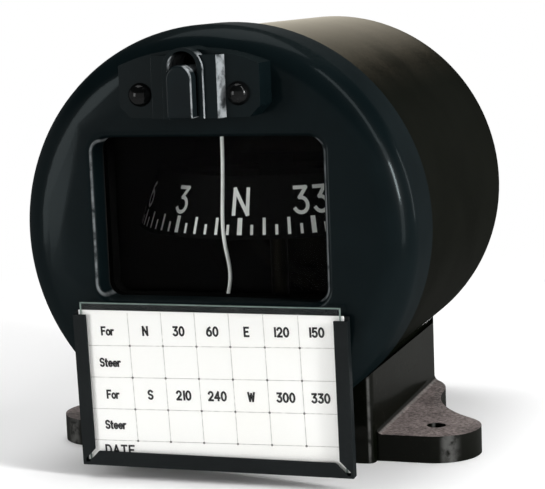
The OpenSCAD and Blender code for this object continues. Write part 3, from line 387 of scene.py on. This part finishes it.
fieldHigh = 6  # each figure is drawn in strokes on a field this high
figureStrokes = {
    "0": [arc(1.9, 3, 1.9, 3, 90, 450, 28)],
    "1": [[(0.9, 0), (0.9, 6)]],
    "2": [arc(1.9, 4.2, 1.8, 1.8, 165, -35, 14) + [(0.1, 0)], [(0.1, 0), (3.8, 0)]],
    "3": [[(0.3, 6), (3.6, 6)], [(3.6, 6), (1.6, 3.6)], [(1.6, 3.6)] + arc(1.8, 1.8, 1.9, 1.8, 85, -150, 16)],
    "4": [[(2.9, 0), (2.9, 6)], [(2.9, 6), (0, 1.7)], [(0, 1.7), (4, 1.7)]],
    "5": [[(3.5, 6), (0.7, 6)], [(0.7, 6), (0.4, 3.2)], arc(1.8, 1.9, 1.9, 1.9, 132, -150, 18)],
    "6": [arc(1.9, 1.9, 1.9, 1.9, 90, 450, 24), arc(3.9, 1.9, 3.9, 4.1, 180, 105, 10)],
    "N": [[(0, 0), (0, 6)], [(0, 6), (3.9, 0)], [(3.9, 0), (3.9, 6)]],
    "E": [[(3.5, 6), (0, 6)], [(0, 6), (0, 0)], [(0, 0), (3.5, 0)], [(0, 3.1), (2.8, 3.1)]],
    "S": [arc(1.9, 4.5, 1.8, 1.5, 25, 270, 16) + arc(1.9, 1.5, 1.8, 1.5, 90, -155, 16)[1:]],
    "W": [[(0, 6), (1.3, 0)], [(1.3, 0), (2.6, 5.2)], [(2.6, 5.2), (3.9, 0)], [(3.9, 0), (5.2, 6)]],
    "F": [[(0, 0), (0, 6)], [(0, 6), (3.4, 6)], [(0, 3.1), (2.7, 3.1)]],
    "A": [[(0, 0), (2, 6)], [(2, 6), (4, 0)], [(0.7, 2.1), (3.3, 2.1)]],
    "T": [[(0, 6), (4, 6)], [(2, 6), (2, 0)]],
    "o": [arc(1.7, 1.9, 1.7, 1.9, 90, 450, 20)],
    "r": [[(0, 0), (0, 3.9)], arc(1.6, 1.9, 1.6, 1.9, 170, 70, 8)],
    "t": [[(0.9, 5.6), (0.9, 0.7)], [(0.9, 0.7)] + arc(1.6, 0.7, 0.7, 0.7, 200, 290, 5),
          [(0, 3.9), (2.0, 3.9)]],
    "e": [[(0.1, 2.0), (3.3, 2.0)], arc(1.7, 1.9, 1.7, 1.9, 3, 315, 18)],
    "D": [[(0, 0), (0, 6)], [(0, 6), (1.4, 6)] + arc(1.4, 3, 2.3, 3, 88, -90, 16), [(1.4, 0), (0, 0)]],
}


pen = dict(longest=0.9, past=0.4)  # longest straight piece in mm, and how many widths a stroke's end runs on


def drawStroke(bm, points, width, place):  # draws an edge out along the points; place puts corners on a surface
    line = [Vector(points[0])]
    for a, b in zip(points, points[1:]):
        a, b = Vector(a), Vector(b)
        parts = max(1, math.ceil((b - a).length / (pen["longest"] * mm)))
        line += [a.lerp(b, i / parts) for i in range(1, parts + 1)]
    first, last = (line[1] - line[0]).normalized(), (line[-1] - line[-2]).normalized()
    line[0] = line[0] - first * width * pen["past"]
    line[-1] = line[-1] + last * width * pen["past"]
    edge = None
    for i, point in enumerate(line):
        along = (line[min(i + 1, len(line) - 1)] - line[max(i - 1, 0)]).normalized()
        side = Vector((-along.y, along.x)) * width / 2
        spots = [place(*(point + side)), place(*(point - side))]
        if edge is None:
            edge = bm.edges.new([bm.verts.new(spot) for spot in spots])
            continue
        drawn = bmesh.ops.extrude_edge_only(bm, edges=[edge])["geom"]
        edge = next(item for item in drawn if isinstance(item, bmesh.types.BMEdge)
                    and len(item.link_faces) == 1 and item.verts[0] in drawn and item.verts[1] in drawn)
        ends = list(edge.verts)
        straight = (ends[0].co - spots[0]).length + (ends[1].co - spots[1]).length
        crossed = (ends[0].co - spots[1]).length + (ends[1].co - spots[0]).length
        if straight > crossed:
            ends.reverse()
        ends[0].co, ends[1].co = spots


def drawWord(bm, word, middle, low, look, place):  # look has the letters' height, squeeze, stroke and gap
    high = look["high"] * mm / fieldHigh
    slim = look["high"] * look["squeeze"] * mm / fieldHigh
    wide = [max(p[0] for s in figureStrokes[c] for p in s) * slim for c in word]
    x = middle - (sum(wide) + look["gap"] * mm * (len(word) - 1)) / 2
    for c, w in zip(word, wide):
        for stroke in figureStrokes[c]:
            points = [(x + u * slim, low + v * high) for u, v in stroke]
            drawStroke(bm, points, look["stroke"] * mm, place)
        x += w + look["gap"] * mm


def finishPrint(name, bm, facing, body, material):
    bmesh.ops.recalc_face_normals(bm, faces=bm.faces)
    for face in bm.faces:
        if face.normal.dot(facing(face.calc_center_median())) < 0:
            face.normal_flip()
    mesh = bpy.data.meshes.new(name)
    bm.to_mesh(mesh)
    bm.free()
    return addPiece(name, mesh, body, material)


# heading card: ring of ticks and figures, north a little to the right of the lubber wire; lengths in mm
dial = dict(turn=3, lowZ=47.15, highZ=59.65, lowR=30.0, highR=25.6, midR=27.4, proud=0.06, tickZ=48.05,
            figureZ=52.15, figureEvery=30, longEvery=10, tickEvery=5,
            main=dict(wide=0.95, tall=3.35), long=dict(wide=0.60, tall=3.35), short=dict(wide=0.55, tall=2.0),
            figure=dict(high=4.95, squeeze=0.88, stroke=0.75, gap=1.5),
            letters={0: "N", 90: "E", 180: "S", 270: "W"})


def onDial(u, v):  # u along the ring to the right, v up, both in m
    rise = (v / mm - dial["lowZ"]) / (dial["highZ"] - dial["lowZ"])
    radius = (dial["lowR"] + (dial["highR"] - dial["lowR"]) * rise + dial["proud"]) * mm
    turn = u / (dial["midR"] * mm)
    return Vector((radius * math.sin(turn), -radius * math.cos(turn), v))


def fromAxis(at):
    return Vector((at.x, at.y, 0))


dialMesh = bmesh.new()
for heading in range(0, 360, dial["tickEvery"]):
    u = math.radians(dial["turn"] - heading) * dial["midR"] * mm
    marked = heading % dial["figureEvery"] == 0
    tick = dial["main" if marked else "long" if heading % dial["longEvery"] == 0 else "short"]
    wide, tall, low = tick["wide"] * mm, tick["tall"] * mm, dial["tickZ"] * mm
    past = wide * pen["past"]
    drawStroke(dialMesh, [(u, low + past), (u, low + tall - past)], wide, onDial)
    if marked:
        word = dial["letters"].get(heading, str(heading // 10))
        drawWord(dialMesh, word, u, dial["figureZ"] * mm, dial["figure"], onDial)
finishPrint("dialMarks", dialMesh, fromAxis, "compass_card", finishes["wire_white"])
print("heading card marked")

# correction card: heading row, blank row to fill in, the other half, and a date strip; the print is a little askew
card = dict(foot=(0, -42.966, 2.8), tilt=2.5, front=-1.13, skew=0.0183, lean=0.02, leanZ=18.5, gridBack=0.01,
            left=-27.6, right=27.6, top=32.1, firstColumn=-16.9, columnWide=7.14, columns=6,
            lines=(25.36, 18.78, 12.19, 5.58), lineWide=0.15, dotR=0.25, dotSides=10, labelX=-21.5,
            label=dict(high=1.55, squeeze=0.80, stroke=0.40, gap=0.32),
            figure=dict(high=1.70, squeeze=0.82, stroke=0.42, gap=0.46),
            date=dict(high=1.80, squeeze=0.95, stroke=0.40, gap=0.6), dateX=-21.0, dateZ=2.7,
            rows=((27.60, "For", ("N", "30", "60", "E", "120", "150")), (21.10, "Steer", ()),
                  (14.45, "For", ("S", "210", "240", "W", "300", "330")), (8.10, "Steer", ())),
            ink=((0.004, 0.004, 0.005, 1), (0.015, 0.015, 0.016, 1)),
            gridInk=((0.52, 0.52, 0.51, 1), (0.84, 0.84, 0.82, 1)),
            dotInk=((0.10, 0.10, 0.10, 1), (0.35, 0.35, 0.34, 1)))
tilt = Matrix.Translation(Vector(card["foot"]) * mm) @ Matrix.Rotation(math.radians(card["tilt"]), 4, "X")


def onCard(u, v, lift=0.0):
    u -= (v - card["leanZ"] * mm) * card["lean"]
    return tilt @ Vector((u, (card["front"] + lift) * mm, v + u * card["skew"]))


def onCardGrid(u, v):  # just behind the words
    return onCard(u, v, card["gridBack"])


def toFront(at):
    return tilt.to_3x3() @ Vector((0, -1, 0))


wordMesh, lineMesh, dotMesh = bmesh.new(), bmesh.new(), bmesh.new()
columns = [(card["firstColumn"] + i * card["columnWide"]) * mm for i in range(card["columns"])]
levels = [level * mm for level in card["lines"]]
lineWide = card["lineWide"] * mm
upright = tilt.to_3x3().to_4x4() @ Matrix.Rotation(math.radians(90), 4, "X")
for low, label, figures in card["rows"]:
    drawWord(wordMesh, label, card["labelX"] * mm, low * mm, card["label"], onCard)
    for u, figure in zip(columns, figures):
        drawWord(wordMesh, figure, u + card["columnWide"] / 2 * mm, low * mm, card["figure"], onCard)
drawWord(wordMesh, "DATE", card["dateX"] * mm, card["dateZ"] * mm, card["date"], onCard)
for level in levels:
    drawStroke(lineMesh, [(card["left"] * mm, level), (card["right"] * mm, level)], lineWide, onCardGrid)
for u in columns:
    drawStroke(lineMesh, [(u, card["top"] * mm), (u, levels[-1])], lineWide, onCardGrid)
    for level in levels:
        bmesh.ops.create_circle(dotMesh, cap_ends=True, segments=card["dotSides"], radius=card["dotR"] * mm,
                                matrix=Matrix.Translation(onCard(u, level)) @ upright)
finishPrint("cardWords", wordMesh, toFront, "correction_sheet", inkFinish("cardInk", *card["ink"]))
finishPrint("cardLines", lineMesh, toFront, "correction_sheet", inkFinish("cardGrid", *card["gridInk"]))
finishPrint("cardDots", dotMesh, toFront, "correction_sheet", inkFinish("cardDot", *card["dotInk"]))
print("correction card printed")

# the clear cover's cut edges catch the light, painted as a slim pale strip, a painted highlight, along the top and
# both sides, in mm
coverEdge = dict(left=-27.25, right=27.25, low=0.95, top=33.85, front=-1.46, deep=0.27, wide=0.22)
left, right, low, top, front, deep, wide = (coverEdge[key] * mm for key in coverEdge)
edgeMesh = bmesh.new()
for x0, x1, z0, z1 in ((left, right, top - wide, top), (left, left + wide, low, top),
                       (right - wide, right, low, top)):
    middle = Vector(((x0 + x1) / 2, front + deep / 2, (z0 + z1) / 2))
    size = Matrix.Diagonal((x1 - x0, deep, z1 - z0, 1))
    bmesh.ops.create_cube(edgeMesh, size=1, matrix=tilt @ Matrix.Translation(middle) @ size)
mesh = bpy.data.meshes.new("coverEdge")
edgeMesh.to_mesh(mesh)
edgeMesh.free()
addPiece("coverEdge", mesh, "clear_sheet", enamel("acetateEdge", edgeLook))
print("clear cover edged")

# white floor that fades into the white world, so only the shadow shows
stage = dict(radius=0.7, sides=96, low=-0.00005, tone=(0.95, 0.95, 0.95, 1), fade=(0.07, 0.27))
floorMesh = bmesh.new()
bmesh.ops.create_circle(floorMesh, cap_ends=True, segments=stage["sides"], radius=stage["radius"],
                        matrix=Matrix.Translation((0, 0, stage["low"])))
mesh = bpy.data.meshes.new("floor")
floorMesh.to_mesh(mesh)
floorMesh.free()
floor = bpy.data.objects.new("floor", mesh)
scene.collection.objects.link(floor)
floorMaterial, wire = newFinish("floorPaper")
place = wire.node("ShaderNodeTexCoord", {}, {}, "Object")
away = wire.node("ShaderNodeVectorMath", {"operation": "LENGTH"}, {0: place}, "Value")
paper = wire.node("ShaderNodeBsdfDiffuse", {}, {"Color": stage["tone"]})
gone = wire.node("ShaderNodeBsdfTransparent", {}, {})
both = wire.node("ShaderNodeMixShader", {}, {0: away.step(*stage["fade"]), 1: paper, 2: gone})
wire.node("ShaderNodeOutputMaterial", {}, {"Surface": both})
mesh.materials.append(floorMaterial)

# the camera, metal and glass see white below eye level and a dark room above it; other rays get a low fill
studio = dict(backdrop=(1, 1, 1, 1), room=(0.03, 0.03, 0.03, 1), roomFrom=(0.20, 0.45), fill=(0.20, 0.20, 0.20, 1))
world = bpy.data.worlds.new("studio")
scene.world = world
world.use_nodes = True
world.node_tree.nodes.clear()
sky = Wire(world.node_tree)
camera = sky.node("ShaderNodeLightPath", {}, {}, "Is Camera Ray")
glossy = sky.node("ShaderNodeLightPath", {}, {}, "Is Glossy Ray")
through = sky.node("ShaderNodeLightPath", {}, {}, "Is Transmission Ray")
shown = sky.calc("MAXIMUM", camera, sky.calc("MAXIMUM", glossy, through))
toward = sky.node("ShaderNodeTexCoord", {}, {}, "Generated")
height = sky.node("ShaderNodeSeparateXYZ", {}, {"Vector": toward}, "Z").step(*studio["roomFrom"])
tone = shown.blend(studio["fill"], height.blend(studio["backdrop"], studio["room"]))
light = sky.node("ShaderNodeBackground", {}, {"Color": tone, "Strength": 1.0})
sky.node("ShaderNodeOutputWorld", {}, {"Surface": light})

studioLamps = {
    "overhead": dict(at=(-0.10, 0.10, 0.80), aim=(0, 0, 0.05), size=(0.6, 0.5), watts=4.5),
    "frontLeft": dict(at=(-0.565, -0.775, 0.13), aim=(0, -0.04, 0.05), size=(0.32, 0.44), watts=3.95),
    "rightWindow": dict(at=(0.66, -0.20, 0.16), aim=(0.02, -0.02, 0.05), size=(0.16, 0.50), watts=1.4),
    "rightGlint": dict(at=(0.64, -0.20, 0.20), aim=(0.03, -0.04, 0.06), size=(0.07, 0.17), watts=3.4),
    "upperRight": dict(at=(0.48, -0.20, 0.58), aim=(0, -0.03, 0.05), size=(0.12, 0.50), watts=1.7),
    "rightBack": dict(at=(0.62, 0.50, 0.16), aim=(0.01, -0.05, 0.06), size=(0.10, 0.32), watts=1.2),
}
for name, look in studioLamps.items():
    lamp = bpy.data.lights.new(name, "AREA")
    lamp.shape = "RECTANGLE"
    lamp.size, lamp.size_y = look["size"]
    lamp.energy = look["watts"]
    holder = bpy.data.objects.new(name, lamp)
    scene.collection.objects.link(holder)
    holder.location = look["at"]
    holder.rotation_euler = (Vector(look["aim"]) - Vector(look["at"])).to_track_quat("-Z", "Y").to_euler()
print("studio lit")

# the photograph's camera: where it stands, how it leans and its lens
view = dict(at=(0.12304, -0.3660, 0.09875), aim=(-0.00079, -0.0020, 0.04188), roll=-2.19, lens=117.4,
            sensor=36, clip=(0.01, 20))
back = (Vector(view["at"]) - Vector(view["aim"])).normalized()
right = (-back).cross(Vector((0, 0, 1))).normalized()
up = right.cross(-back)
lean = math.radians(view["roll"])
across = right * math.cos(lean) + up * math.sin(lean)
above = up * math.cos(lean) - right * math.sin(lean)
cam = bpy.data.objects.new("photoCamera", bpy.data.cameras.new("photoCamera"))
scene.collection.objects.link(cam)
cam.data.lens = view["lens"]
cam.data.sensor_width = view["sensor"]
cam.data.clip_start, cam.data.clip_end = view["clip"]
cam.matrix_world = Matrix.Translation(view["at"]) @ Matrix((across, above, back)).transposed().to_4x4()
scene.camera = cam
scene.view_settings.view_transform = "Standard"
